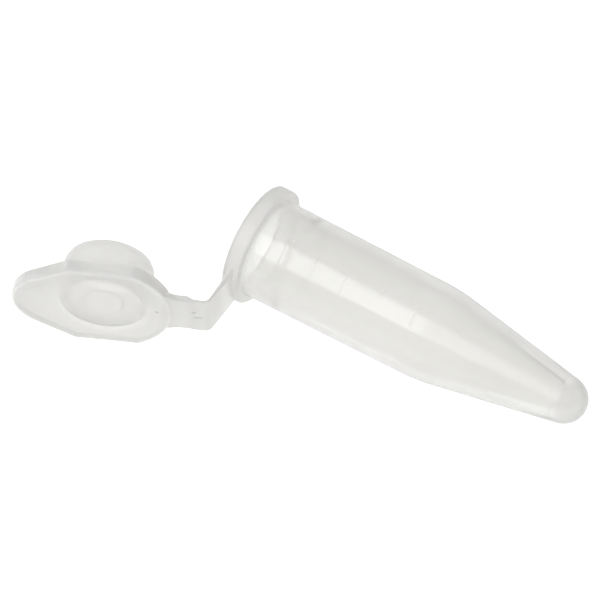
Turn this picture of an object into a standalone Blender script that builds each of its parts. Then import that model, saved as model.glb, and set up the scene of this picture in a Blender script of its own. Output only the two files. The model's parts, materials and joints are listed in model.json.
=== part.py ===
"""Microcentrifuge tube of 1.5 mL with an attached snap lid, lying open on a table.

Tube frame, in which every shape is drawn: the origin is the centre of the mouth, +X runs down
the tube to its tip, the hinge is on the -Y side, and +Z is along the hinge line.  A root empty
then lays the tube on the table, where it rests on its flange, its bend and the lid's edge.

The strap and the lid are drawn flat, in a line, in hinge frames: y is the distance from the
pivot towards the thumb tab, x is the depth below the web's middle, z is across.  A turn about
+Z opens the hinge.  Zero is folded back over the arm.
"""
import math

import bmesh
import bpy
from mathutils import Matrix, Vector

MM = 0.001

# Tube body, turned about the X axis
TUBE_LENGTH = 39.2 * MM
TOP_RADIUS = 5.40 * MM
BEND_RADIUS = 5.13 * MM
BEND_X = 22.2 * MM              # where the straight wall turns into the cone
TIP_RADIUS = 2.50 * MM
MOUTH_RADIUS = 5.10 * MM        # bore at the rim
SEAL_RADIUS = 4.88 * MM         # bore that the plug fits
SEAL_DEPTH = 5.4 * MM
LEAD_IN = 1.8 * MM              # length over which the mouth narrows to the seal
WALL = 0.95 * MM                # below the seal
SHOULDER = 0.6 * MM             # length of the step from the seal to the wall
FLOOR = 2.0 * MM

# Flange round the mouth
FLANGE_RADIUS = 6.40 * MM
FLANGE_THICKNESS = 1.75 * MM
FLANGE_CHAMFER = 0.28 * MM

# Hinge
SEAM = 0.02 * MM                # gap between two regions of the one moulding
FOLD_REACH = 10.25 * MM         # tube axis to the fold
FOLD_DROP = 1.05 * MM           # rim to the fold, down the tube
OPEN_ANGLE = math.radians(115.1)
WEB_THICKNESS = 0.28 * MM
WEB_HALF_WIDTH = 2.65 * MM
KNUCKLE_RADIUS = 0.50 * MM
KNUCKLE_GAP = 0.03 * MM
ARM_THICKNESS = 0.80 * MM
ARM_BACK = 1.35 * MM            # rim to the arm's face on the tip's side
ARM_ROOT_HALF_WIDTH = 3.05 * MM
ARM_REACH = 9.15 * MM           # tube axis to the arm's thin end

# Lid
LID_REACH = 11.00 * MM          # fold to the plug's axis, strap and lid flat
LID_THICKNESS = 1.43 * MM
LID_OVER_WEB = 0.33 * MM        # web's middle to the lid's outer face
LID_HALF_WIDTH = 6.25 * MM
LID_ARC_RADIUS = 7.12 * MM      # hinge side of the outline, about the plug's axis
LID_FLAT_END = 3.25 * MM        # where the straight sides start to taper, past the plug's axis
LID_TAB_END = 9.40 * MM
LID_TAB_RADIUS = 4.35 * MM
LID_SEAT_GAP = 0.03 * MM        # rim to the lid's inner face when shut
NECK_START = 0.72 * MM          # second pivot to the lid's thick neck
PANEL_INSET = 0.95 * MM
PANEL_RECESS = 0.12 * MM

# Plug under the lid
PLUG_RADIUS = 4.68 * MM
PLUG_ROOT_RADIUS = 4.45 * MM
PLUG_BORE_RADIUS = 4.03 * MM
PLUG_BEAD = 0.08 * MM           # how far the sealing bead stands out
PLUG_BEAD_PLACE = 1.1 * MM      # plug's free end to the bead's middle
PLUG_BEAD_HALF_LENGTH = 0.5 * MM
PLUG_END_TAPER = 0.30 * MM
PLUG_LENGTH = 4.05 * MM

# Straight steps that stand for round outlines
ROUND_STEPS = 64
TIP_STEPS = 8
KNUCKLE_STEPS = 24
HOLLOW_STEPS = 4
ARM_STEPS = 12
LID_ARC_STEPS = 10
LID_TAB_STEPS = 20
SHARP_ANGLE = math.radians(30)
ON_AXIS = 1e-7

# Colour and roughness of the three finishes of natural polypropylene
BODY_FINISH = ((0.74, 0.74, 0.71), 0.30)
LID_FINISH = ((0.77, 0.77, 0.74), 0.34)
HINGE_FINISH = ((0.72, 0.72, 0.68), 0.32)

LID_INNER_X = LID_THICKNESS - LID_OVER_WEB
# Strap length that lets the plug's axis meet the tube's axis when the lid is shut
STRAP_SLACK = LID_REACH - FOLD_REACH
STRAP_RISE = FOLD_DROP + LID_INNER_X + LID_SEAT_GAP
STRAP_LENGTH = (STRAP_SLACK ** 2 + STRAP_RISE ** 2) / (2 * STRAP_SLACK)
PLUG_Y = LID_REACH - STRAP_LENGTH


def arc(centre, radius, start, end, steps):
    """Points of a circular arc in a plane, from one angle to the other in degrees."""
    points = []
    for i in range(steps + 1):
        angle = math.radians(start + (end - start) * i / steps)
        points.append((centre[0] + radius * math.cos(angle), centre[1] + radius * math.sin(angle)))
    return points


def plastic(name, finish):
    """One Principled material of the moulding's natural polypropylene."""
    colour, roughness = finish
    material = bpy.data.materials.new(name)
    material.use_nodes = True
    shader = material.node_tree.nodes["Principled BSDF"]
    shader.inputs["Base Color"].default_value = (*colour, 1.0)
    shader.inputs["Roughness"].default_value = roughness
    shader.inputs["Metallic"].default_value = 0.0
    material.diffuse_color = (*colour, 1.0)
    return material


def add_object(name, bm, parent, finish):
    """Close the bmesh into a named object under its parent."""
    bmesh.ops.recalc_face_normals(bm, faces=bm.faces)
    mesh = bpy.data.meshes.new(name)
    bm.to_mesh(mesh)
    bm.free()
    mesh.shade_smooth()
    mesh.set_sharp_from_angle(angle=SHARP_ANGLE)
    mesh.materials.append(plastic(name, finish))
    obj = bpy.data.objects.new(name, mesh)
    bpy.context.collection.objects.link(obj)
    obj.parent = parent
    return obj


def turned(profile, centre_y=0.0):
    """Turn (x, radius) points about an X axis; a profile that ends on the axis is closed there."""
    bm = bmesh.new()
    rings = []
    for x, radius in profile:
        if radius < ON_AXIS:
            rings.append([bm.verts.new((x, centre_y, 0.0))])
            continue
        ring = []
        for i in range(ROUND_STEPS):
            angle = 2 * math.pi * (i + 0.5) / ROUND_STEPS
            ring.append(bm.verts.new((x, centre_y + radius * math.cos(angle), radius * math.sin(angle))))
        rings.append(ring)
    pairs = list(zip(rings, rings[1:]))
    if len(rings[0]) > 1:
        pairs.append((rings[-1], rings[0]))
    for first, second in pairs:
        for i in range(ROUND_STEPS):
            j = (i + 1) % ROUND_STEPS
            if len(first) == 1:
                bm.faces.new((first[0], second[i], second[j]))
            elif len(second) == 1:
                bm.faces.new((first[i], second[0], first[j]))
            else:
                bm.faces.new((first[i], second[i], second[j], first[j]))
    return bm


def prism(outline, place, low, high):
    """Extrude a closed outline; place(u, v, w) turns outline and height into a position."""
    bm = bmesh.new()
    bottom = [bm.verts.new(place(u, v, low)) for u, v in outline]
    face = bm.faces.new(bottom)
    raised = bmesh.ops.extrude_face_region(bm, geom=[face])
    lift = Vector(place(0.0, 0.0, high)) - Vector(place(0.0, 0.0, low))
    moved = [item for item in raised["geom"] if isinstance(item, bmesh.types.BMVert)]
    bmesh.ops.translate(bm, verts=moved, vec=lift)
    return bm


def plan(u, v, w):
    """Outline seen from the mouth: u along y, v across, w down the tube."""
    return (w, u, v)


def section(u, v, w):
    """Outline seen along the hinge line: u down the tube, v along y, w across."""
    return (u, v, w)


def tube_profile():
    """Outer wall from tip to mouth, then the bore back to the floor."""
    outer_tip = TUBE_LENGTH - TIP_RADIUS
    taper = math.degrees(math.atan2(BEND_RADIUS - TIP_RADIUS, outer_tip - BEND_X))
    points = arc((outer_tip, 0.0), TIP_RADIUS, 0, 90 - taper, TIP_STEPS)
    points += [(BEND_X, BEND_RADIUS), (0.0, TOP_RADIUS), (0.0, MOUTH_RADIUS)]
    points += [(LEAD_IN, SEAL_RADIUS), (SEAL_DEPTH, SEAL_RADIUS)]
    points += [(SEAL_DEPTH + SHOULDER, TOP_RADIUS - WALL), (BEND_X, BEND_RADIUS - WALL)]
    inner_radius = TIP_RADIUS - WALL
    inner_tip = TUBE_LENGTH - FLOOR - inner_radius
    points += arc((inner_tip, 0.0), inner_radius, 90 - taper, 0, TIP_STEPS)
    points[0] = (TUBE_LENGTH, 0.0)
    points[-1] = (TUBE_LENGTH - FLOOR, 0.0)
    return points


def flange_profile():
    """Closed ring section, chamfered at both outer edges, round the tube's wall."""
    inner = TOP_RADIUS + SEAM
    return [
        (0.0, inner),
        (0.0, FLANGE_RADIUS - FLANGE_CHAMFER),
        (FLANGE_CHAMFER, FLANGE_RADIUS),
        (FLANGE_THICKNESS - FLANGE_CHAMFER, FLANGE_RADIUS),
        (FLANGE_THICKNESS, FLANGE_RADIUS - FLANGE_CHAMFER),
        (FLANGE_THICKNESS, inner),
    ]


def arm_outline():
    """Plan of the arm: hollow where it meets the flange, narrowing to the web's width."""
    radius = FLANGE_RADIUS + SEAM
    spread = math.degrees(math.asin(ARM_ROOT_HALF_WIDTH / radius))
    points = arc((0.0, 0.0), radius, 180 + spread, 180 - spread, ARM_STEPS)
    points += [(-ARM_REACH, WEB_HALF_WIDTH), (-ARM_REACH, -WEB_HALF_WIDTH)]
    return points


def fold_web_section():
    """Keyhole section: a round at the fold and the thin web that joins it to the arm."""
    half = WEB_THICKNESS / 2
    mouth = math.degrees(math.asin(half / KNUCKLE_RADIUS))
    points = arc((0.0, 0.0), KNUCKLE_RADIUS, 90 + mouth, 450 - mouth, KNUCKLE_STEPS)
    web_end = FOLD_REACH - ARM_REACH - SEAM
    points += [(half, web_end), (-half, web_end)]
    return points


def strap_section():
    """Thin strap between the two pivots, hollowed at both ends round the knuckles."""
    half = WEB_THICKNESS / 2
    clear = KNUCKLE_RADIUS + KNUCKLE_GAP
    mouth = math.degrees(math.asin(half / clear))
    points = arc((0.0, 0.0), clear, 90 + mouth, 90 - mouth, HOLLOW_STEPS)
    points += arc((0.0, STRAP_LENGTH), clear, -90 + mouth, -90 - mouth, HOLLOW_STEPS)
    return points


def lid_web_section():
    """Keyhole section at the lid's end of the strap, in the lid's hinge frame."""
    half = WEB_THICKNESS / 2
    mouth = math.degrees(math.asin(half / KNUCKLE_RADIUS))
    points = arc((0.0, 0.0), KNUCKLE_RADIUS, 90 + mouth, 450 - mouth, KNUCKLE_STEPS)
    web_end = NECK_START - SEAM
    points += [(half, web_end), (-half, web_end)]
    return points


def lid_outline():
    """Plan of the lid: neck, arc, straight sides, taper and rounded thumb tab."""
    half_arc = math.degrees(math.asin(LID_HALF_WIDTH / LID_ARC_RADIUS))
    neck = math.degrees(math.asin(WEB_HALF_WIDTH / LID_ARC_RADIUS))
    centre = (PLUG_Y, 0.0)
    tab = (PLUG_Y + LID_TAB_END - LID_TAB_RADIUS, 0.0)
    corner = (PLUG_Y + LID_FLAT_END, LID_HALF_WIDTH)
    run = math.hypot(tab[0] - corner[0], corner[1])
    slope = math.atan2(corner[1], tab[0] - corner[0]) - math.asin(LID_TAB_RADIUS / run)
    tangent = 90 - math.degrees(slope)
    points = [(NECK_START, -WEB_HALF_WIDTH)]
    points += arc(centre, LID_ARC_RADIUS, 180 + neck, 180 + half_arc, LID_ARC_STEPS)
    points += [(corner[0], -corner[1])]
    points += arc(tab, LID_TAB_RADIUS, -tangent, tangent, LID_TAB_STEPS)
    points += [corner]
    points += arc(centre, LID_ARC_RADIUS, 180 - half_arc, 180 - neck, LID_ARC_STEPS)
    points += [(NECK_START, WEB_HALF_WIDTH)]
    return points


def plug_profile():
    """Hollow cup section under the lid, widening to a small sealing bead near its end."""
    root = LID_INNER_X + SEAM
    end = LID_INNER_X + PLUG_LENGTH
    bead = end - PLUG_BEAD_PLACE
    return [
        (root, PLUG_ROOT_RADIUS),
        (bead - PLUG_BEAD_HALF_LENGTH, PLUG_RADIUS),
        (bead, PLUG_RADIUS + PLUG_BEAD),
        (bead + PLUG_BEAD_HALF_LENGTH, PLUG_RADIUS),
        (end, PLUG_RADIUS - PLUG_END_TAPER),
        (end, PLUG_BORE_RADIUS),
        (root, PLUG_BORE_RADIUS),
    ]


def sink_panel(bm):
    """Sink the lid's outer face, the lowest in x, inside a raised border."""
    outer = min(bm.faces, key=lambda face: face.calc_center_median().x)
    bmesh.ops.inset_region(bm, faces=[outer], thickness=PANEL_INSET, use_even_offset=True)
    bmesh.ops.translate(bm, verts=outer.verts, vec=(PANEL_RECESS, 0.0, 0.0))


def add_empty(name, parent, location, angle):
    """Pivot empty, turned about the hinge line."""
    empty = bpy.data.objects.new(name, None)
    bpy.context.collection.objects.link(empty)
    empty.parent = parent
    empty.location = location
    empty.rotation_euler = (0.0, 0.0, angle)
    return empty


def resting_turn():
    """Rotation that lays the tube on its flange, its bend and the near end of the lid's edge."""
    tilt = math.atan2(FLANGE_RADIUS - BEND_RADIUS, BEND_X - FLANGE_THICKNESS + FLANGE_CHAMFER)
    corner_y = STRAP_LENGTH + PLUG_Y - math.sqrt(LID_ARC_RADIUS ** 2 - LID_HALF_WIDTH ** 2)
    corner = Matrix.Rotation(OPEN_ANGLE, 4, "Z") @ Vector((-LID_OVER_WEB, corner_y, 0.0))
    corner += Vector((FOLD_DROP, -FOLD_REACH, 0.0))
    table = FLANGE_RADIUS * math.cos(tilt) + (FLANGE_THICKNESS - FLANGE_CHAMFER) * math.sin(tilt)
    depth = (table - corner.x * math.sin(tilt)) / math.cos(tilt)
    reach = math.hypot(LID_HALF_WIDTH, corner.y)
    roll = math.atan2(-corner.y, LID_HALF_WIDTH) - math.acos(depth / reach)
    return Matrix.Rotation(tilt, 4, "Y") @ Matrix.Rotation(roll, 4, "X")


def set_down(root, pieces):
    """Move the root so that the world origin is under the middle of the object, on the table."""
    bpy.context.view_layer.update()
    corners = [piece.matrix_world @ vert.co for piece in pieces for vert in piece.data.vertices]
    low = [min(corner[axis] for corner in corners) for axis in range(3)]
    high = [max(corner[axis] for corner in corners) for axis in range(3)]
    root.location = (-(low[0] + high[0]) / 2, -(low[1] + high[1]) / 2, -low[2])


for existing in list(bpy.data.objects):
    bpy.data.objects.remove(existing, do_unlink=True)

root = bpy.data.objects.new("tube_frame", None)
bpy.context.collection.objects.link(root)
fold_axis = add_empty("fold_axis", root, (FOLD_DROP, -FOLD_REACH, 0.0), OPEN_ANGLE)
lid_axis = add_empty("lid_axis", fold_axis, (0.0, STRAP_LENGTH, 0.0), 0.0)

pieces = []
pieces.append(add_object("tube_body", turned(tube_profile()), root, BODY_FINISH))
pieces.append(add_object("rim_flange", turned(flange_profile()), root, BODY_FINISH))

arm = prism(arm_outline(), plan, ARM_BACK - ARM_THICKNESS, ARM_BACK)
pieces.append(add_object("hinge_arm", arm, root, HINGE_FINISH))

fold_web = prism(fold_web_section(), section, -WEB_HALF_WIDTH, WEB_HALF_WIDTH)
web_piece = add_object("fold_web", fold_web, root, HINGE_FINISH)
web_piece.location = (FOLD_DROP, -FOLD_REACH, 0.0)
pieces.append(web_piece)

strap = prism(strap_section(), section, -WEB_HALF_WIDTH, WEB_HALF_WIDTH)
pieces.append(add_object("hinge_strap", strap, fold_axis, HINGE_FINISH))

lid_web = prism(lid_web_section(), section, -WEB_HALF_WIDTH, WEB_HALF_WIDTH)
pieces.append(add_object("lid_web", lid_web, lid_axis, HINGE_FINISH))

lid = prism(lid_outline(), plan, -LID_OVER_WEB, LID_INNER_X)
sink_panel(lid)
pieces.append(add_object("lid_plate", lid, lid_axis, LID_FINISH))
pieces.append(add_object("sealing_plug", turned(plug_profile(), PLUG_Y), lid_axis, LID_FINISH))

root.rotation_euler = resting_turn().to_euler()
set_down(root, pieces)
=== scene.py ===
"""Looks of an open 1.5 mL microcentrifuge tube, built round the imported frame.

Tube frame: origin at the centre of the mouth, +X down the tube to its tip, the hinge on the -Y
side, +Z along the hinge line.  Lid frame: origin at the web where the strap meets the lid, +Y
towards the thumb tab, +X inwards through the lid, +Z across.  Both are found from the record.
"""
import json
import math

import bmesh
import bpy
from mathutils import Matrix, Vector


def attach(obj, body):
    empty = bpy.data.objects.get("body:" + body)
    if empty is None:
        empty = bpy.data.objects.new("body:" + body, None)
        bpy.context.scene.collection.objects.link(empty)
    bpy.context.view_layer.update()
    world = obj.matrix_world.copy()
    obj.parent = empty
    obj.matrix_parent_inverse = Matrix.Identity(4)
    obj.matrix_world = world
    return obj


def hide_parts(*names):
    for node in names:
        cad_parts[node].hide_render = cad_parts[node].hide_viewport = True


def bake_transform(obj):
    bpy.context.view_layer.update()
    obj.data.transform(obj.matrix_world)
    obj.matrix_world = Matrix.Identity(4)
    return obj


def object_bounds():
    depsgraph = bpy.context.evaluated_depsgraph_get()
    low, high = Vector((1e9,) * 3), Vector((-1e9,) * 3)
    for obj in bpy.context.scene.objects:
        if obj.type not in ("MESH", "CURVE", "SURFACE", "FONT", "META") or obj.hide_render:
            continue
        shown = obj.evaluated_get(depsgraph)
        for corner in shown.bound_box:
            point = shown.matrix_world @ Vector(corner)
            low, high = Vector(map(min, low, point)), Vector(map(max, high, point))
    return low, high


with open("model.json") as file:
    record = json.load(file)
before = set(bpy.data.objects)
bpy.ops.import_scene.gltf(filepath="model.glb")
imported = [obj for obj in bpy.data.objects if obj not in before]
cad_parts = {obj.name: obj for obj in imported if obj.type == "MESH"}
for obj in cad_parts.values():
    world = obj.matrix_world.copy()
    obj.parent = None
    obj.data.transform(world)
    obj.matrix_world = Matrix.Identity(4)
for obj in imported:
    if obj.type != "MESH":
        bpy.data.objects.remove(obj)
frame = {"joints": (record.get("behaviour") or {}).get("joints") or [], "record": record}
cad_low, cad_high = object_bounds()

MM = 0.001

# Tube, down from the rim
TUBE_LENGTH = 39.2 * MM
TOP_RADIUS = 5.40 * MM
BEND_RADIUS = 5.13 * MM
BEND_X = 22.2 * MM
TIP_RADIUS = 2.50 * MM
MOUTH_RADIUS = 5.10 * MM
SEAL_RADIUS = 4.88 * MM
SEAL_DEPTH = 5.4 * MM
LEAD_IN = 1.8 * MM
LEAD_IN_STEP = 0.08 * MM
SHOULDER = 0.6 * MM
WALL = 0.95 * MM
BORE_FLOOR = 2.0 * MM           # solid plastic between the bore's end and the tip's
FLANGE_RADIUS = 6.40 * MM
FLANGE_THICKNESS = 1.75 * MM
BEND_FILLET = 20.0 * MM         # radii of the section's rounded corners
INNER_BEND_FILLET = 18.0 * MM
FLANGE_FILLET = 0.25 * MM
RIM_FILLET = 0.28 * MM
MOUTH_FILLET = 0.14 * MM
LEAD_IN_FILLET = 0.04 * MM
SEAL_FILLET = 0.15 * MM
SHOULDER_FILLET = 0.3 * MM

# Raised volume marks: depth from the rim, the tick's two ends in degrees about the axis, and the label
TICKS = (
    (5.15 * MM, 107.0, 130.0, "1.5"),
    (8.70 * MM, 103.0, 116.0, ""),
    (12.25 * MM, 107.0, 130.0, "1.0"),
    (16.40 * MM, 103.0, 116.0, ""),
    (20.35 * MM, 107.0, 130.0, "0.5"),
    (25.30 * MM, 101.0, 113.0, ""),
)
TICK_HALF_WIDTH = 0.12 * MM
TICK_SQUARENESS = 24            # power of the curve that rounds a tick's ends
TICK_END_SHARE = 0.15           # of its rise, left at its ends
MARK_RISE = 0.04 * MM
MARK_ROOT = 0.12 * MM           # how far a mark goes into the surface that it stands on
NUMERAL_ANGLE = 99.5
NUMERAL_LENGTH = 1.60 * MM
NUMERAL_HEIGHT = 0.85 * MM
NUMERAL_RISE = 0.8 * MARK_RISE

# Hinge
FOLD_REACH = 10.25 * MM         # from the tube's axis to the fold
FOLD_DROP = 1.05 * MM           # from the rim down to the fold
OPEN_ANGLE = math.radians(115.1)
WEB_THICKNESS = 0.26 * MM
WEB_HALF_WIDTH = 2.65 * MM
WEB_BEND_RADIUS = 0.70 * MM
ARM_ROOT_HALF_WIDTH = 2.75 * MM
ARM_TAPER_POWER = 1.3
ARM_FRONT = 0.84 * MM           # the arm's two faces, down from the rim
ARM_BACK = 1.26 * MM
STRAP_OFFSET = 0.10 * MM        # how far the strap's middle lies outside the line of the two folds
NECK_THICKNESS = 0.75 * MM
BAND_EDGE = 0.34 * MM           # radius of the band's long edges
BAND_EDGE_SHARE = 0.42          # the most it may be of the band's thickness
ROOT_DEPTH = 0.06 * MM          # how far the arm goes into the flange
THINNING_START = 0.35           # shares of the way from the flange to the fold
THINNING_RUN = 0.60
HOLLOW_RUN = 0.40
NECK_RUN = 1.1 * MM             # over which the strap thickens before the lid
NECK_FLARE = 0.30 * MM
NECK_FLARE_START = -0.35 * MM
NECK_FLARE_RUN = 1.2 * MM
NECK_ROOT = 1.2 * MM            # how far the neck goes into the lid
SEAM_PLACE = 1.30 * MM          # along the strap, where its two meshes meet
SEAM_OVERLAP = 0.10 * MM
MARKS = (                       # mould marks: body, length, half width, place from the fold, place across
    ("strap_dot", "strap", 0.44 * MM, 0.22 * MM, 1.55 * MM, 0.50 * MM),
    ("strap_bar", "strap", 1.00 * MM, 0.12 * MM, 1.15 * MM, -0.35 * MM),
    ("panel_dot", "lid", 0.32 * MM, 0.16 * MM, 5.38 * MM, -0.05 * MM),
)
MARK_SECTION = (                # share of a mould mark's width, and how far that ring stands out
    (1.0, -0.05 * MM),
    (1.0, 0.0),
    (0.85, 0.04 * MM),
    (0.5, 0.06 * MM),
)

# Lid
LID_REACH = 11.00 * MM          # from the fold, along the strap and the lid, to the plug's axis
LID_THICKNESS = 1.43 * MM
LID_OVER_WEB = 0.33 * MM        # how far the plate's outer face stands out past the web's axis
LID_HALF_WIDTH = 6.25 * MM
LID_ARC_RADIUS = 7.12 * MM      # round the plug's axis, on the hinge's side
LID_FLAT_END = 3.25 * MM        # from the plug's axis to the end of the straight side
LID_TAB_END = 9.40 * MM
LID_TAB_RADIUS = 4.35 * MM
PANEL_INSET = 0.95 * MM
PANEL_MARGIN = 0.5 * MM         # from the panel's edge in to its first ring of points
PANEL_RECESS = 0.12 * MM
PANEL_SLOPE = 0.60 * MM         # run of the slope from the border down to the panel
PANEL_FILLET = 0.60 * MM
BORDER_FILLET = 0.30 * MM
LID_TOP_FILLET = 0.22 * MM
LID_UNDER_FILLET = 0.16 * MM
UNDER_INSET = 0.9 * MM          # rings of points that only divide the flat faces
TOP_RINGS = (1.7 * MM, 3.4 * MM)
UNDER_RINGS = (3.0 * MM, 1.0 * MM)
GATE_RADIUS = 2.08 * MM
GATE_DEPTH = 0.12 * MM
GATE_SLOPE = 0.05 * MM
RING_GAP = 0.20 * MM            # from a step to the next ring of points beside it
TAB_PANEL_START = 6.50 * MM     # raised thumb panel on the tab, from the plug's axis
TAB_PANEL_END = 8.20 * MM
TAB_PANEL_HALF_WIDTH = 2.50 * MM
TAB_PANEL_RISE = 0.05 * MM
TAB_PANEL_SLOPE = 0.06 * MM
TAB_NEAR_FILLET = 0.3 * MM
TAB_FAR_FILLET = 1.2 * MM
PLUG_RADIUS = 4.68 * MM
PLUG_ROOT_RADIUS = 4.50 * MM
PLUG_BORE_RADIUS = 4.03 * MM
PLUG_BEAD = 0.08 * MM
PLUG_LENGTH = 4.05 * MM
PLUG_ROOT_DEPTH = 0.2 * MM
BEAD_START = 1.6 * MM           # bead's places from the end of the cup
BEAD_MIDDLE = 1.1 * MM
BEAD_END = 0.5 * MM
BEAD_END_STEP = 0.04 * MM       # by how much the cup is narrower where the bead ends
PLUG_END_STEP = 0.30 * MM       # and at its own end
PLUG_SIDE_FILLET = 0.6 * MM
BEAD_FILLET = 0.5 * MM
PLUG_END_FILLET = 0.12 * MM

# How finely the shapes are divided
ROUND_STEPS = 192
LID_STEPS = 288
OUTLINE_STEPS = 24
TIP_STEPS = 24
BORE_TIP_STEPS = 16
BAND_STEPS = 32
BEND_STEPS = 24
STRAP_STEPS = 8
ACROSS_STEPS = 16
MARK_STEPS = 32
TUBE_STEP = 0.8 * MM            # longest run of a section between two of its points
PLUG_STEP = 0.4 * MM
SHARP_ANGLE = math.radians(40)

# Plastic, with six values kept at each vertex: haze is the share of milky plastic, shade dims its
# colour, both have a twin for the side seen from within, and through is the share of the haze that
# lets light through
# the inside twin of shade holds painted shade, dark where the cup's wall meets the plate and on the
# gate's step
FINISH = ("haze", "shade", "inside_haze", "inside_shade", "through", "roughness")
BODY_HAZE = 0.29
TIP_HAZE = 0.80
FLANGE_HAZE = 0.62
LID_HAZE = 0.78
DISC_HAZE = 0.40
RIM_HAZE = 0.75
PLUG_HAZE = 0.56
BORE_HAZE = 0.25
HINGE_HAZE = 0.75
ARM_HAZE = 1.00
LIGHT_TINT = (0.914, 0.91, 0.894)
SHADE_TINT = (0.884, 0.88, 0.860)
GRAZE_HAZE = 0.95               # at a grazing angle
GRAZE_POWER = 1.6
INSIDE_HAZE = 0.12              # seen from within the plastic
CORE_HAZE = 0.95                # the same, where the cup's wall meets the plate
# painted shade: colour dimmed where the cup's wall meets the plate, seen from within the plastic, draws a
# dark ring through the lid
CORE_PAINTED_SHADE = 0.25
CORE_THROUGH = 0.05
CORE_DEPTH = 1.6 * MM
FLANGE_SHADE = 0.955
SEAL_SHADE = 0.97
LID_SHADE = 0.97
DISC_SHADE = 0.99
HINGE_SHADE = 0.965
MARK_HAZE = 0.95
MARK_SHADE = 0.84
# painted shade: colour darkened at grazing angles draws a thin dark outline
BRIM_POWER = 9.0                # the outline's thin dark edge
BRIM_PAINTED_SHADE = 0.35
THROUGH = 0.5
THICK_THROUGH = 0.0
SEAL_FADE = 2.0 * MM            # runs over which one region's finish turns into the next
FLANGE_FADE = 0.6 * MM
TIP_START = TUBE_LENGTH - BORE_FLOOR - 0.9 * MM
TIP_FADE = 1.2 * MM
RIM_FADE = 0.5 * MM
DISC_FADE = 1.0 * MM
BORE_FADE = 0.2 * MM
CUP_MARGIN = 0.02 * MM          # what counts as the cup: above the plate, and near its radius
CUP_CLEARANCE = 0.2 * MM
# painted shade: the gate's step gets this share of the cup root's dark milky look, a faint dark ring
GATE_SHARE = 0.5                # of the look of the cup's root, on the gate's step
BODY_ROUGHNESS = 0.05
FLANGE_ROUGHNESS = 0.35
LID_ROUGHNESS = 0.07
PLUG_ROUGHNESS = 0.06
HINGE_ROUGHNESS = 0.12
ROUGHNESS_SPREAD = 0.3
BUMP_STRENGTH = 0.3
FLOW_SCALE = 180.0
FLOW_HEIGHT = 0.02 * MM
GRAIN_SCALE = 9000.0
GRAIN_HEIGHT = 0.002 * MM
SHADOW = 0.85                   # share of light that passes the plastic to the floor
REFRACTION = 1.49

# Lights, in the tube frame, and the floor
SURROUND = 0.46                 # all round, as the plastic and the floor see it
BACKDROP = 1.0                  # as the camera sees it past the floor
KEY_DIRECTION = Vector((-0.38, -0.470, 0.833))
KEY_RADIANCE = 2.30
TIP_DIRECTION = Vector((0.06, -0.470, 0.833))
TIP_RADIANCE = 1.0
BOX_DISTANCE = 0.5
KEY_SIZE = (0.40, 0.28)
TIP_SIZE = (0.40, 0.16)
FLOOR_HALF_SIZE = 3.0
FLOOR_GAP = 0.02 * MM
FLOOR_COLOUR = (0.70, 0.70, 0.70)
FLOOR_GLOW = 0.60
FLOOR_ROUGHNESS = 0.9
WHITE = (1.0, 1.0, 1.0, 1.0)

# Camera, in the tube frame
CAMERA_PLACE = Vector((89.47, -134.25, 231.27)) * MM
CAMERA_FORWARD = Vector((-0.29343, 0.46979, -0.83258))
CAMERA_UP = Vector((-0.43746, 0.70840, 0.55390))
CAMERA_LENS = 162.4

# ---------------------------------------------------------------- frames


def joint(name):
    """The record's joint of that name."""
    return next(item for item in frame["joints"] if item["name"] == name)


def mount(name):
    """The record's mount of that name."""
    return next(item for item in frame["record"]["mounts"] if item["name"] == name)


def frame_matrix(x_axis, z_axis, origin):
    """4 by 4 matrix of a right-handed frame."""
    y_axis = z_axis.cross(x_axis)
    matrix = Matrix((x_axis, y_axis, z_axis)).transposed().to_4x4()
    matrix.translation = origin
    return matrix


HINGE_LINE = Vector(joint("fold_hinge")["axis"]).normalized()
FOLD = Vector(joint("fold_hinge")["pos_m"])
LID_PIVOT = Vector(joint("lid_hinge")["pos_m"])
STRAP_LENGTH = (LID_PIVOT - FOLD).length
PLUG_Y = LID_REACH - STRAP_LENGTH
LID_INNER_X = LID_THICKNESS - LID_OVER_WEB

TUBE = frame_matrix(Vector(mount("flange_seat")["axis"]).normalized(), HINGE_LINE, FOLD)
TUBE = TUBE @ Matrix.Translation((-FOLD_DROP, FOLD_REACH, 0.0))
LID = frame_matrix(-Vector(mount("lid_panel")["axis"]).normalized(), HINGE_LINE, LID_PIVOT)

# ---------------------------------------------------------------- mesh helpers


def arc(centre, radius, start, end, steps):
    """Points of a circular arc in a plane, from one angle to the other in degrees."""
    points = []
    for i in range(steps + 1):
        angle = math.radians(start + (end - start) * i / steps)
        points.append((centre[0] + radius * math.cos(angle), centre[1] + radius * math.sin(angle)))
    return points


def rounded(corners, steps):
    """Polyline of (u, v, fillet radius) corners, with an arc of that radius at each inner corner."""
    points = [Vector(corners[0][:2])]
    for before, corner, after in zip(corners, corners[1:], corners[2:]):
        here = Vector(corner[:2])
        back = (Vector(before[:2]) - here).normalized()
        ahead = (Vector(after[:2]) - here).normalized()
        radius = corner[2]
        turn = back.angle(ahead)
        if radius <= 0.0 or turn > math.radians(179.5):
            points.append(here)
            continue
        run = radius / math.tan(turn / 2)
        centre = here + (back + ahead).normalized() * (radius / math.sin(turn / 2))
        start = here + back * run - centre
        sweep = math.pi - turn
        side = 1.0 if back.x * ahead.y - back.y * ahead.x < 0.0 else -1.0
        for i in range(steps + 1):
            angle = side * sweep * i / steps
            points.append(centre + Matrix.Rotation(angle, 2) @ start)
    points.append(Vector(corners[-1][:2]))
    return [tuple(point) for point in points]


def tangent_slope(reach, height, radius):
    """Angle to the axis of a line that starts at a height and touches a circle, reach further on."""
    return math.atan2(height, reach) - math.asin(radius / math.hypot(reach, height))


def divided(profile, step):
    """Profile with points added so that none of its straight runs is longer than step."""
    points = [profile[0]]
    for first, second in zip(profile, profile[1:]):
        count = math.ceil(math.dist(first, second) / step)
        for i in range(1, count + 1):
            points.append(tuple(a + (b - a) * i / count for a, b in zip(first, second)))
    return points


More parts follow.
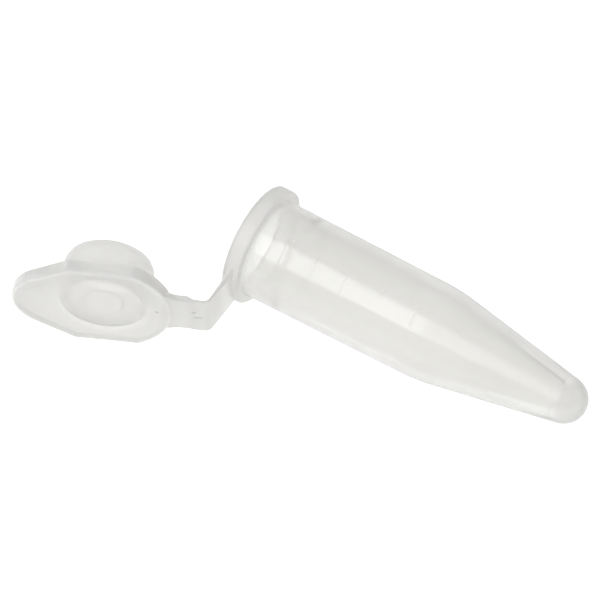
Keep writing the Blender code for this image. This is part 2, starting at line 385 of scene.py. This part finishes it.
def solid(name, loops, matrix, ring=False):
    """Closed mesh through loops of equal count; a loop of one point is a pole."""
    verts, starts = [], []
    for loop in loops:
        starts.append(len(verts))
        verts.extend(matrix @ Vector(point) for point in loop)
    pairs = list(zip(range(len(loops)), range(1, len(loops))))
    if ring:
        pairs.append((len(loops) - 1, 0))
    faces = []
    for first, second in pairs:
        a, b = starts[first], starts[second]
        count = max(len(loops[first]), len(loops[second]))
        for i in range(count):
            j = (i + 1) % count
            if len(loops[first]) == 1:
                faces.append((a, b + i, b + j))
            elif len(loops[second]) == 1:
                faces.append((a + i, b, a + j))
            else:
                faces.append((a + i, b + i, b + j, a + j))
    mesh = bpy.data.meshes.new(name)
    mesh.from_pydata([tuple(vert) for vert in verts], [], faces)
    mesh.validate()
    obj = bpy.data.objects.new(name, mesh)
    bpy.context.collection.objects.link(obj)
    face_out(mesh)
    mesh.shade_smooth()
    mesh.set_sharp_from_angle(angle=SHARP_ANGLE)
    return obj


def face_out(mesh):
    """Turn all faces over if the closed mesh encloses a negative volume."""
    volume = 0.0
    for face in mesh.polygons:
        corners = [mesh.vertices[index].co for index in face.vertices]
        for second, third in zip(corners[1:], corners[2:]):
            volume += corners[0].dot(second.cross(third))
    if volume < 0.0:
        mesh.flip_normals()


def turned(profile, centre_y=0.0):
    """Loops of (x, radius) points turned about an X axis."""
    loops = []
    for x, radius in profile:
        if radius < 1e-7:
            loops.append([(x, centre_y, 0.0)])
            continue
        angles = [2 * math.pi * i / ROUND_STEPS for i in range(ROUND_STEPS)]
        loops.append([(x, centre_y + radius * math.cos(a), radius * math.sin(a)) for a in angles])
    return loops


def fuse(target, tools):
    """Make the target one closed mesh with the tools, which are removed."""
    for tool in tools:
        modifier = target.modifiers.new(tool.name, "BOOLEAN")
        modifier.operation = "UNION"
        modifier.solver = "EXACT"
        modifier.object = tool
    depsgraph = bpy.context.evaluated_depsgraph_get()
    mesh = bpy.data.meshes.new_from_object(target.evaluated_get(depsgraph))
    target.modifiers.clear()
    target.data = mesh
    for tool in tools:
        bpy.data.objects.remove(tool)
    mesh.shade_smooth()
    mesh.set_sharp_from_angle(angle=SHARP_ANGLE)


# ---------------------------------------------------------------- tube


def tube_profile():
    """Section from the outer tip up to the rim, over it and down to the bore's floor."""
    outer = tip_arc(TUBE_LENGTH, TIP_RADIUS, BEND_RADIUS, TIP_STEPS)
    bore = tip_arc(TUBE_LENGTH - BORE_FLOOR, TIP_RADIUS - WALL, BEND_RADIUS - WALL, BORE_TIP_STEPS)
    neck = TOP_RADIUS + (BEND_RADIUS - TOP_RADIUS) * FLANGE_THICKNESS / BEND_X
    corners = [
        (*outer[-1], 0.0),
        (BEND_X, BEND_RADIUS, BEND_FILLET),
        (FLANGE_THICKNESS, neck, FLANGE_FILLET),
        (FLANGE_THICKNESS, FLANGE_RADIUS, FLANGE_FILLET),
        (0.0, FLANGE_RADIUS, RIM_FILLET),
        (0.0, MOUTH_RADIUS, MOUTH_FILLET),
        (LEAD_IN - LEAD_IN_STEP, SEAL_RADIUS + LEAD_IN_STEP, LEAD_IN_FILLET),
        (LEAD_IN, SEAL_RADIUS, LEAD_IN_FILLET),
        (SEAL_DEPTH, SEAL_RADIUS, SEAL_FILLET),
        (SEAL_DEPTH + SHOULDER, TOP_RADIUS - WALL, SHOULDER_FILLET),
        (BEND_X, BEND_RADIUS - WALL, INNER_BEND_FILLET),
        (*bore[-1], 0.0),
    ]
    return outer[:-1] + rounded(corners, steps=8) + bore[-2::-1]


def tip_arc(end_x, radius, bend_radius, steps):
    """Arc from the pole at end_x to the point where the cone from the bend touches the sphere."""
    centre = end_x - radius
    slope = tangent_slope(centre - BEND_X, bend_radius, radius)
    return arc((centre, 0.0), radius, 0, 90 - math.degrees(slope), steps)


def on_wall(x, angle, lift):
    """Point above the tube's outer wall at depth x and at an angle about the axis."""
    radius = TOP_RADIUS + (BEND_RADIUS - TOP_RADIUS) * x / BEND_X
    if x > BEND_X:
        slope = tangent_slope(TUBE_LENGTH - TIP_RADIUS - BEND_X, BEND_RADIUS, TIP_RADIUS)
        radius = BEND_RADIUS - (x - BEND_X) * math.tan(slope)
    radius += lift
    return (x, radius * math.cos(angle), radius * math.sin(angle))


def tick_loops(place_x, start, end):
    """Sections of a low rounded bar that follows the wall round the axis."""
    loops = []
    section = [(math.cos(a), math.sin(a)) for a in (math.pi * i / 8 for i in range(9))]
    for i in range(BAND_STEPS + 1):
        t = i / BAND_STEPS
        from_middle = abs(2 * t - 1.0)
        taper = min(1.0, math.sqrt(1.0 - from_middle ** TICK_SQUARENESS) + TICK_END_SHARE)
        angle = math.radians(start + (end - start) * t)
        loop = [on_wall(place_x + TICK_HALF_WIDTH * u, angle, MARK_RISE * v * taper) for u, v in section]
        loop.append(on_wall(place_x - TICK_HALF_WIDTH, angle, -MARK_ROOT))
        loop.append(on_wall(place_x + TICK_HALF_WIDTH, angle, -MARK_ROOT))
        loops.append(loop)
    return capped(loops)


def numeral(label, place_x):
    """Raised numeral wrapped on the wall, read from the rim towards the tip."""
    curve = bpy.data.curves.new("numeral", "FONT")
    curve.body = label
    curve.extrude = 0.5
    curve.resolution_u = 4
    source = bpy.data.objects.new("numeral", curve)
    mesh = bpy.data.meshes.new_from_object(source)
    bpy.data.objects.remove(source)
    bpy.data.curves.remove(curve)
    shape = bmesh.new()
    shape.from_mesh(mesh)
    bmesh.ops.remove_doubles(shape, verts=shape.verts, dist=1e-5)
    across = [vert.co.x for vert in shape.verts]
    upright = [vert.co.y for vert in shape.verts]
    for vert in shape.verts:
        u = (vert.co.x - min(across)) / (max(across) - min(across)) - 0.5
        v = (vert.co.y - min(upright)) / (max(upright) - min(upright)) - 0.5
        angle = math.radians(NUMERAL_ANGLE) - v * NUMERAL_HEIGHT / BEND_RADIUS
        lift = NUMERAL_RISE if vert.co.z > 0 else -MARK_ROOT
        vert.co = TUBE @ Vector(on_wall(place_x + u * NUMERAL_LENGTH, angle, lift))
    shape.to_mesh(mesh)
    shape.free()
    mesh.name = "volume_numeral"
    face_out(mesh)
    obj = bpy.data.objects.new("numeral_" + label, mesh)
    bpy.context.collection.objects.link(obj)
    return obj


def build_tube():
    """Body and flange as the one smooth shell they are, and the raised volume marks."""
    shell = solid("tube_shell", turned(divided(tube_profile(), TUBE_STEP)), TUBE)
    marks = []
    for index, (place_x, start, end, label) in enumerate(TICKS):
        marks.append(solid("tick_%d" % index, tick_loops(place_x, start, end), TUBE))
        if label:
            marks.append(numeral(label, place_x))
    fuse(shell, marks)
    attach(shell, "tube")
    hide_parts("tube_body", "rim_flange")
    return shell


# ---------------------------------------------------------------- hinge band


def band_loop(centre, along, out, half_width, inner, outer, hollow=0.0):
    """Rounded-rectangle section of the band across Z; hollow, 0 to 1, bends it round the flange."""
    edge = min(BAND_EDGE, (inner + outer) * BAND_EDGE_SHARE)
    corners = [(half_width, outer), (half_width, -inner), (-half_width, -inner), (-half_width, outer)]
    loop = []
    for index, (across, tone_and_painted_shade) in enumerate(corners):
        middle = (across - math.copysign(edge, across), tone_and_painted_shade - math.copysign(edge, tone_and_painted_shade))
        start = 90 - 90 * index
        for u, v in arc(middle, edge, start, start - 90, steps=4):
            loop.append((u, v))
    filled = []
    for (u, v), (next_u, next_v) in zip(loop, loop[1:] + loop[:1]):
        filled.append((u, v))
        if abs(next_u - u) > half_width:
            filled.extend(
                (u + (next_u - u) * k / ACROSS_STEPS, v) for k in range(1, ACROSS_STEPS))
    points = []
    for u, v in filled:
        sag = hollow * (FLANGE_RADIUS - math.sqrt(FLANGE_RADIUS ** 2 - u ** 2))
        place = centre + out * v - along * sag
        points.append((place.x, place.y, u))
    return points


def smooth(value):
    """Smooth step from 0 to 1."""
    value = min(1.0, max(0.0, value))
    return value * value * (3.0 - 2.0 * value)


def fold_loops(strap_end):
    """Sections of the band from the flange, round the fold and along the strap."""
    turn = math.pi - OPEN_ANGLE
    run = WEB_BEND_RADIUS * math.tan(turn / 2)
    root_y = -(FLANGE_RADIUS - ROOT_DEPTH)
    bend_start = -(FOLD_REACH - run)
    half = WEB_THICKNESS / 2
    loops = []
    for i in range(BAND_STEPS + 1):
        t = i / BAND_STEPS
        y = root_y + (bend_start - root_y) * t
        width = WEB_HALF_WIDTH + (ARM_ROOT_HALF_WIDTH - WEB_HALF_WIDTH) * (1 - t) ** ARM_TAPER_POWER
        thin = smooth((t - THINNING_START) / THINNING_RUN)
        inner = (FOLD_DROP - ARM_FRONT) * (1 - thin) + half * thin
        outer = (ARM_BACK - FOLD_DROP) * (1 - thin) + half * thin
        hollow = 1 - smooth(t / HOLLOW_RUN)
        loops.append(band_loop(
            Vector((FOLD_DROP, y)), Vector((0.0, -1.0)), Vector((1.0, 0.0)), width, inner, outer, hollow))
    centre = Vector((FOLD_DROP - WEB_BEND_RADIUS, bend_start))
    for i in range(1, BEND_STEPS + 1):
        angle = turn * i / BEND_STEPS
        out = Vector((math.cos(angle), -math.sin(angle)))
        along = Vector((-math.sin(angle), -math.cos(angle)))
        shift = STRAP_OFFSET * smooth(i / BEND_STEPS)
        place = centre + out * WEB_BEND_RADIUS
        loops.append(band_loop(place, along, out, WEB_HALF_WIDTH, half - shift, half + shift))
    start = centre + out * WEB_BEND_RADIUS     # the strap runs on from the end of the bend
    for i in range(1, STRAP_STEPS + 1):
        place = start + along * (strap_end - run) * i / STRAP_STEPS
        loops.append(band_loop(place, along, out, WEB_HALF_WIDTH, half - shift, half + shift))
    return loops


def capped(loops):
    """Close both ends of a tube of loops at their middles."""
    ends = []
    for loop in (loops[0], loops[-1]):
        middle = sum((Vector(point) for point in loop), Vector()) / len(loop)
        ends.append([tuple(middle)])
    return [ends[0]] + loops + [ends[1]]


def neck_loops(start_y, end_y):
    """Sections of the band from the thin strap, through its thick end, into the lid's edge."""
    loops = []
    outer = WEB_THICKNESS / 2 + STRAP_OFFSET
    thin = WEB_THICKNESS - outer
    thick = NECK_THICKNESS - outer
    for i in range(BAND_STEPS + 1):
        y = start_y + (end_y - start_y) * i / BAND_STEPS
        inner = thin + (thick - thin) * smooth((y - start_y) / NECK_RUN)
        width = WEB_HALF_WIDTH + NECK_FLARE * smooth((y - NECK_FLARE_START) / NECK_FLARE_RUN)
        loops.append(band_loop(
            Vector((0.0, y)), Vector((0.0, 1.0)), Vector((-1.0, 0.0)), width, inner, outer))
    return loops


def mould_mark(name, length, half_width, place_y, place_z):
    """Low rounded mark on the outer face of the strap or the lid, long along the strap."""
    surface = -(WEB_THICKNESS / 2 + STRAP_OFFSET)
    run = length / 2 - half_width
    loops = []
    for share, lift in MARK_SECTION:
        loop = []
        for i in range(MARK_STEPS):
            angle = 2 * math.pi * i / MARK_STEPS
            y = math.copysign(run, math.cos(angle)) + half_width * share * math.cos(angle)
            loop.append((surface - lift, place_y + y, place_z + half_width * share * math.sin(angle)))
        loops.append(loop)
    return solid(name, capped(loops), LID @ Matrix.Translation((0.0, -STRAP_LENGTH, 0.0)))


def build_hinge():
    """The living hinge: an arm that thins to a folding web, and a strap that thickens at the lid."""
    fold = solid("fold_strap", capped(fold_loops(SEAM_PLACE + SEAM_OVERLAP)), TUBE)
    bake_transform(fold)
    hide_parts("hinge_arm", "fold_web", "hinge_strap")
    neck = solid("lid_neck", capped(neck_loops(SEAM_PLACE - STRAP_LENGTH, NECK_ROOT)), LID)
    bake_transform(neck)
    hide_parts("lid_web")
    return [fold, neck]


def build_marks():
    """Small mould marks on the strap and on the lid's panel."""
    marks = []
    for name, body, length, half_width, place_y, place_z in MARKS:
        mark = mould_mark(name, length, half_width, place_y, place_z)
        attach(mark, body)
        marks.append(mark)
    return marks


# ---------------------------------------------------------------- lid


def lid_outline(inset):
    """Half of the lid's outline as (y, z), hinge side to tab, moved in by inset."""
    half_width = LID_HALF_WIDTH - inset
    arc_radius = LID_ARC_RADIUS - inset
    tab_radius = LID_TAB_RADIUS - inset
    tab = LID_TAB_END - LID_TAB_RADIUS
    slope = tangent_slope(tab - LID_FLAT_END, LID_HALF_WIDTH, LID_TAB_RADIUS)
    flat_end = LID_FLAT_END - inset * math.tan(slope / 2)
    half_arc = math.degrees(math.asin(half_width / arc_radius))
    points = arc((0.0, 0.0), arc_radius, 180, 180 - half_arc, OUTLINE_STEPS)
    points.append((flat_end, half_width))
    points += arc((tab, 0.0), tab_radius, 90 - math.degrees(slope), 0, OUTLINE_STEPS)
    return points


def reach_at(outline, angle):
    """Distance from the plug's axis to the outline in the direction of angle, 0 to pi."""
    direction = Vector((math.cos(angle), math.sin(angle)))
    for first, second in zip(outline, outline[1:]):
        a, b = Vector(first), Vector(second)
        edge = b - a
        cross = direction.x * edge.y - direction.y * edge.x
        if abs(cross) < 1e-12:
            continue
        share = (a.y * direction.x - a.x * direction.y) / -cross
        reach = (a.x * edge.y - a.y * edge.x) / cross
        if -1e-6 <= share <= 1 + 1e-6 and reach > 0:
            return reach
    raise ValueError("the outline has no point in this direction")


def lid_loop(inset, x, angles):
    """Loop of the lid's outline, moved in by inset, at depth x."""
    outline = lid_outline(inset)
    loop = []
    for angle in angles:
        reach = reach_at(outline, min(abs(angle), math.pi))
        loop.append((x, PLUG_Y + reach * math.cos(angle), reach * math.sin(angle)))
    return loop


def circle_loop(radius, x, angles):
    """Loop of a circle round the plug's axis at depth x."""
    return [(x, PLUG_Y + radius * math.cos(a), radius * math.sin(a)) for a in angles]


def tab_panel_loops():
    """Sections of the low panel under the tab, a rectangle with its far corners well rounded."""
    loops = []
    for inset, lift in ((0.0, -MARK_ROOT), (0.0, 0.0), (TAB_PANEL_SLOPE, TAB_PANEL_RISE)):
        near, far = PLUG_Y + TAB_PANEL_START + inset, PLUG_Y + TAB_PANEL_END - inset
        side = TAB_PANEL_HALF_WIDTH - inset
        outline = rounded([
            (near, 0.0, 0.0),
            (near, side, TAB_NEAR_FILLET),
            (far, side, TAB_FAR_FILLET),
            (far, -side, TAB_FAR_FILLET),
            (near, -side, TAB_NEAR_FILLET),
            (near, 0.0, 0.0),
        ], steps=10)
        loops.append([(LID_INNER_X + lift, y, z) for y, z in outline[:-1]])
    return capped(loops)


def plug_profile():
    """Closed section of the hollow sealing cup, its root inside the plate."""
    root = LID_INNER_X - PLUG_ROOT_DEPTH
    end = LID_INNER_X + PLUG_LENGTH
    return rounded([
        (root, PLUG_BORE_RADIUS, 0.0),
        (root, PLUG_ROOT_RADIUS, 0.0),
        (LID_INNER_X, PLUG_ROOT_RADIUS, 0.0),
        (end - BEAD_START, PLUG_RADIUS, PLUG_SIDE_FILLET),
        (end - BEAD_MIDDLE, PLUG_RADIUS + PLUG_BEAD, BEAD_FILLET),
        (end - BEAD_END, PLUG_RADIUS - BEAD_END_STEP, BEAD_FILLET),
        (end, PLUG_RADIUS - PLUG_END_STEP, PLUG_END_FILLET),
        (end, PLUG_BORE_RADIUS, PLUG_END_FILLET),
        (LID_INNER_X, PLUG_BORE_RADIUS, 0.0),
    ], steps=5)


def build_lid():
    """Lid plate with a raised border, and under it a gate mark, a thumb panel and the sealing cup."""
    angles = [2 * math.pi * (i + 0.5) / LID_STEPS - math.pi for i in range(LID_STEPS)]
    top = -LID_OVER_WEB
    panel = top + PANEL_RECESS
    loops = [[(panel, PLUG_Y, 0.0)]]
    for radius in (*TOP_RINGS, PLUG_BORE_RADIUS, PLUG_ROOT_RADIUS):
        loops.append(circle_loop(radius, panel, angles))
    edge = rounded([
        (PANEL_INSET + PANEL_MARGIN, panel, 0.0),
        (PANEL_INSET, panel, PANEL_FILLET),
        (PANEL_INSET - PANEL_SLOPE, top, BORDER_FILLET),
        (0.0, top, LID_TOP_FILLET),
        (0.0, LID_INNER_X, LID_UNDER_FILLET),
        (UNDER_INSET, LID_INNER_X, 0.0),
    ], steps=5)
    for inset, x in edge:
        loops.append(lid_loop(inset, x, angles))
    inner = [
        (PLUG_ROOT_RADIUS + RING_GAP, 0.0),
        (PLUG_BORE_RADIUS - RING_GAP, 0.0),
        (UNDER_RINGS[0], 0.0),
        (GATE_RADIUS + RING_GAP, 0.0),
        (GATE_RADIUS + GATE_SLOPE, 0.0),
        (GATE_RADIUS - GATE_SLOPE, GATE_DEPTH),
        (GATE_RADIUS - RING_GAP, GATE_DEPTH),
        (UNDER_RINGS[1], GATE_DEPTH),
    ]
    for radius, tone_and_painted_shade in inner:
        loops.append(circle_loop(radius, LID_INNER_X - tone_and_painted_shade, angles))
    loops.append([(LID_INNER_X - GATE_DEPTH, PLUG_Y, 0.0)])
    plate = solid("lid_plate_fine", loops, LID)
    thumb = solid("thumb_panel", tab_panel_loops(), LID)
    cup = solid("sealing_cup", turned(divided(plug_profile(), PLUG_STEP), PLUG_Y), LID, ring=True)
    fuse(plate, [thumb, cup])
    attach(plate, "lid")
    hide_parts("lid_plate", "sealing_plug")
    return plate


# ---------------------------------------------------------------- material


def node(tree, kind, inputs, **settings):
    """New shader node; each input, by name or number, is given a value, or linked to a socket."""
    made = tree.nodes.new(kind)
    for name, value in settings.items():
        setattr(made, name, value)
    for name, value in inputs.items():
        if isinstance(value, bpy.types.NodeSocket):
            tree.links.new(value, made.inputs[name])
        else:
            made.inputs[name].default_value = value
    return made


def polypropylene(name):
    """Natural polypropylene: clear plastic with a milky haze that thickens at grazing angles."""
    material = bpy.data.materials.new(name)
    material.use_nodes = True
    tree = material.node_tree
    tree.nodes.clear()
    place = node(tree, "ShaderNodeTexCoord", {}).outputs["Object"]
    haze, shade, inside_haze, inside_shade, pass_on, gloss = (
        node(tree, "ShaderNodeAttribute", {}, attribute_name=name).outputs["Fac"] for name in FINISH)
    flow = node(tree, "ShaderNodeTexNoise", {"Vector": place, "Scale": FLOW_SCALE}).outputs["Fac"]
    grain = node(tree, "ShaderNodeTexNoise", {"Vector": place, "Scale": GRAIN_SCALE}).outputs["Fac"]
    facing = node(tree, "ShaderNodeLayerWeight", {"Blend": 0.5}).outputs["Facing"]
    graze = node(tree, "ShaderNodeMath", {0: facing, 1: GRAZE_POWER}, operation="POWER").outputs[0]
    brim = node(tree, "ShaderNodeMath", {0: facing, 1: BRIM_POWER}, operation="POWER").outputs[0]
    front = node(tree, "ShaderNodeMapRange", {"Value": graze, "To Min": haze, "To Max": GRAZE_HAZE})
    inside = node(tree, "ShaderNodeNewGeometry", {}).outputs["Backfacing"]
    amount = node(tree, "ShaderNodeMapRange", {
        "Value": inside, "To Min": front.outputs["Result"], "To Max": inside_haze}).outputs["Result"]
    clear = node(tree, "ShaderNodeMath", {0: 1.0, 1: amount}, operation="SUBTRACT").outputs[0]
    through = node(tree, "ShaderNodeMath", {0: amount, 1: pass_on}, operation="MULTIPLY").outputs[0]
    tint = node(tree, "ShaderNodeMix", {
        0: flow, 6: (*LIGHT_TINT, 1.0), 7: (*SHADE_TINT, 1.0)}, data_type="RGBA")
    # painted shade: colour darkened towards the outline, at grazing angles
    dark = node(tree, "ShaderNodeMapRange", {"Value": brim, "To Min": 1.0, "To Max": 1.0 - BRIM_PAINTED_SHADE})
    # the front takes the vertex's tone; the inside takes the painted shade at the cup's root and the gate
    tone_and_painted_shade = node(tree, "ShaderNodeMapRange", {"Value": inside, "To Min": shade, "To Max": inside_shade})
    darken = node(tree, "ShaderNodeMath", {
        0: dark.outputs["Result"], 1: tone_and_painted_shade.outputs["Result"]}, operation="MULTIPLY").outputs[0]
    colour = node(tree, "ShaderNodeVectorMath", {
        0: tint.outputs[2], "Scale": darken}, operation="SCALE").outputs["Vector"]
    spread = node(tree, "ShaderNodeMapRange", {
        "Value": grain, "To Min": 1.0 - ROUGHNESS_SPREAD, "To Max": 1.0 + ROUGHNESS_SPREAD})
    rough = node(tree, "ShaderNodeMath", {
        0: gloss, 1: spread.outputs["Result"]}, operation="MULTIPLY").outputs[0]
    swell = node(tree, "ShaderNodeBump", {
        "Height": flow, "Strength": BUMP_STRENGTH, "Distance": FLOW_HEIGHT}).outputs["Normal"]
    fine = node(tree, "ShaderNodeBump", {
        "Height": grain, "Strength": BUMP_STRENGTH, "Distance": GRAIN_HEIGHT,
        "Normal": swell}).outputs["Normal"]
    skin = node(tree, "ShaderNodeBsdfPrincipled", {
        "Base Color": colour, "Roughness": rough, "IOR": REFRACTION, "Transmission Weight": clear,
        "Normal": fine}).outputs["BSDF"]
    milk = node(tree, "ShaderNodeBsdfTranslucent", {"Color": colour, "Normal": fine}).outputs["BSDF"]
    body = node(tree, "ShaderNodeMixShader", {"Fac": through, 1: skin, 2: milk}).outputs["Shader"]
    shadow = node(tree, "ShaderNodeBsdfTransparent", {"Color": (SHADOW, SHADOW, SHADOW, 1.0)})
    ray = node(tree, "ShaderNodeLightPath", {}).outputs["Is Shadow Ray"]
    surface = node(tree, "ShaderNodeMixShader", {"Fac": ray, 1: body, 2: shadow.outputs["BSDF"]})
    node(tree, "ShaderNodeOutputMaterial", {"Surface": surface.outputs["Shader"]})
    return material


def store_finish(obj, matrix, rule):
    """Store the values that the rule gives for each vertex's place in the frame."""
    into_frame = matrix.inverted()
    rows = [rule(into_frame @ vert.co) for vert in obj.data.vertices]
    for name, column in zip(FINISH, zip(*rows)):
        layer = obj.data.attributes.new(name, "FLOAT", "POINT")
        layer.data.foreach_set("value", column)


def mixed(first, second, share):
    """Value between first and second."""
    return first + (second - first) * share


def values(haze, shade, roughness, through=THROUGH, inside_haze=INSIDE_HAZE, inside_shade=1.0):
    """A finish's values in the order of FINISH."""
    return haze, shade, inside_haze, inside_shade, through, roughness


def tube_finish(place):
    """Frosted flange, clear wall a little darker round the seal, and a milky, solid tip."""
    seal = 1.0 - smooth((place.x - SEAL_DEPTH) / SEAL_FADE)
    shade = mixed(1.0, SEAL_SHADE, seal)
    if math.hypot(place.y, place.z) > (MOUTH_RADIUS + TOP_RADIUS) / 2:
        flange = 1.0 - smooth((place.x - FLANGE_THICKNESS) / FLANGE_FADE)
        return values(mixed(BODY_HAZE, FLANGE_HAZE, flange), mixed(shade, FLANGE_SHADE, flange),
                      mixed(BODY_ROUGHNESS, FLANGE_ROUGHNESS, flange))
    tip = smooth((place.x - TIP_START) / TIP_FADE)
    return values(mixed(BODY_HAZE, TIP_HAZE, tip), shade, BODY_ROUGHNESS)


def lid_finish(place):
    """Satin plate, milkier at its thick rim, and a clearer, glossier cup with painted shade at its root,
    dark where its wall meets the plate, and a share of it on the gate's step.
    """
    y, z = place.y - PLUG_Y, place.z
    radius = math.hypot(y, z)
    if place.x > LID_INNER_X + CUP_MARGIN and radius < PLUG_RADIUS + CUP_CLEARANCE:
        # painted shade: near its root the cup's wall is dark and milky from within
        core = 1.0 - smooth((place.x - LID_INNER_X) / CORE_DEPTH)
        bore = 1.0 - smooth((radius - PLUG_BORE_RADIUS) / BORE_FADE)
        return values(mixed(PLUG_HAZE, BORE_HAZE, bore), 1.0, PLUG_ROUGHNESS,
                      mixed(THROUGH, CORE_THROUGH, core), mixed(INSIDE_HAZE, CORE_HAZE, core),
                      mixed(1.0, CORE_PAINTED_SHADE, core))
    inset = reach_at(lid_outline(0.0), abs(math.atan2(z, y))) - radius
    rim = 1.0 - smooth(inset / RIM_FADE)
    disc = 1.0 - smooth((radius - PLUG_BORE_RADIUS) / DISC_FADE)
    # painted shade on the gate's step: a faint dark ring seen from within
    gate = GATE_SHARE if place.x > 0.0 and abs(radius - GATE_RADIUS) < 2 * GATE_SLOPE else 0.0
    return values(mixed(mixed(LID_HAZE, DISC_HAZE, disc), RIM_HAZE, rim),
                  mixed(LID_SHADE, DISC_SHADE, disc), LID_ROUGHNESS,
                  mixed(THROUGH, THICK_THROUGH, rim), mixed(INSIDE_HAZE, CORE_HAZE, gate),
                  mixed(1.0, CORE_PAINTED_SHADE, gate))


def hinge_finish(place):
    """Even satin film, milkier where the arm is thick, near the flange."""
    root = smooth((place.y + FOLD_REACH) / (FOLD_REACH - FLANGE_RADIUS))
    return values(mixed(HINGE_HAZE, ARM_HAZE, root), HINGE_SHADE, HINGE_ROUGHNESS,
                  mixed(THROUGH, THICK_THROUGH, root))


def mark_finish(_place):
    """Milky and a little darker, the same at every place."""
    return values(MARK_HAZE, MARK_SHADE, HINGE_ROUGHNESS)


# ---------------------------------------------------------------- stage


def build_floor():
    """Pale floor that reaches past every view."""
    mesh = bpy.data.meshes.new("floor")
    half = FLOOR_HALF_SIZE
    mesh.from_pydata([(-half, -half, 0), (half, -half, 0), (half, half, 0), (-half, half, 0)], [],
                     [(0, 1, 2, 3)])
    floor = bpy.data.objects.new("floor", mesh)
    floor.location.z = cad_low.z - FLOOR_GAP
    bpy.context.collection.objects.link(floor)
    material = bpy.data.materials.new("floor_paint")
    material.use_nodes = True
    inputs = material.node_tree.nodes["Principled BSDF"].inputs
    inputs["Base Color"].default_value = (*FLOOR_COLOUR, 1.0)
    inputs["Emission Color"].default_value = WHITE
    inputs["Emission Strength"].default_value = FLOOR_GLOW
    inputs["Roughness"].default_value = FLOOR_ROUGHNESS
    inputs["Specular IOR Level"].default_value = 0.0
    mesh.materials.append(material)


def softbox(name, direction, size, radiance):
    """Rectangular area light that faces the tube's middle; size is across and along the tube."""
    data = bpy.data.lights.new(name, "AREA")
    data.shape = "RECTANGLE"
    data.size, data.size_y = size
    data.energy = radiance * math.pi * size[0] * size[1]
    light = bpy.data.objects.new(name, data)
    bpy.context.collection.objects.link(light)
    turn = TUBE.to_3x3()
    back = (turn @ direction).normalized()
    along = turn @ Vector((1.0, 0.0, 0.0))
    y_axis = (along - back * along.dot(back)).normalized()
    matrix = Matrix((y_axis.cross(back), y_axis, back)).transposed().to_4x4()
    matrix.translation = TUBE @ Vector((TUBE_LENGTH / 2, 0.0, 0.0)) + back * BOX_DISTANCE
    light.matrix_world = matrix


def build_light():
    """Grey surround that the camera sees as white, and two softboxes beside the tube."""
    world = bpy.data.worlds.new("studio")
    world.use_nodes = True
    tree = world.node_tree
    seen = node(tree, "ShaderNodeLightPath", {}).outputs["Is Camera Ray"]
    strength = node(tree, "ShaderNodeMapRange", {"Value": seen, "To Min": SURROUND, "To Max": BACKDROP})
    background = tree.nodes["Background"]
    background.inputs["Color"].default_value = WHITE
    tree.links.new(strength.outputs["Result"], background.inputs["Strength"])
    bpy.context.scene.world = world
    bpy.context.scene.view_settings.view_transform = "Standard"
    softbox("key_softbox", KEY_DIRECTION, KEY_SIZE, KEY_RADIANCE)
    softbox("tip_softbox", TIP_DIRECTION, TIP_SIZE, TIP_RADIANCE)


def build_camera():
    """Camera high over the hinge's side, past the tip, looking back at the mouth."""
    data = bpy.data.cameras.new("camera")
    data.lens = CAMERA_LENS
    data.clip_start = 0.01
    data.clip_end = 20.0
    camera = bpy.data.objects.new("camera", data)
    bpy.context.collection.objects.link(camera)
    turn = TUBE.to_3x3()
    back = turn @ -CAMERA_FORWARD
    x_axis = (turn @ CAMERA_UP).cross(back).normalized()
    matrix = Matrix((x_axis, back.cross(x_axis), back)).transposed().to_4x4()
    matrix.translation = TUBE @ CAMERA_PLACE
    camera.matrix_world = matrix
    bpy.context.scene.camera = camera


tube = build_tube()
hinge = build_hinge()
lid = build_lid()
marks = build_marks()
store_finish(tube, TUBE, tube_finish)
store_finish(lid, LID, lid_finish)
for piece in hinge:
    store_finish(piece, TUBE, hinge_finish)
for piece in marks:
    store_finish(piece, TUBE, mark_finish)
plastic = polypropylene("natural_polypropylene")
for piece in (tube, lid, *hinge, *marks):
    piece.data.materials.append(plastic)
build_floor()
build_light()
build_camera()
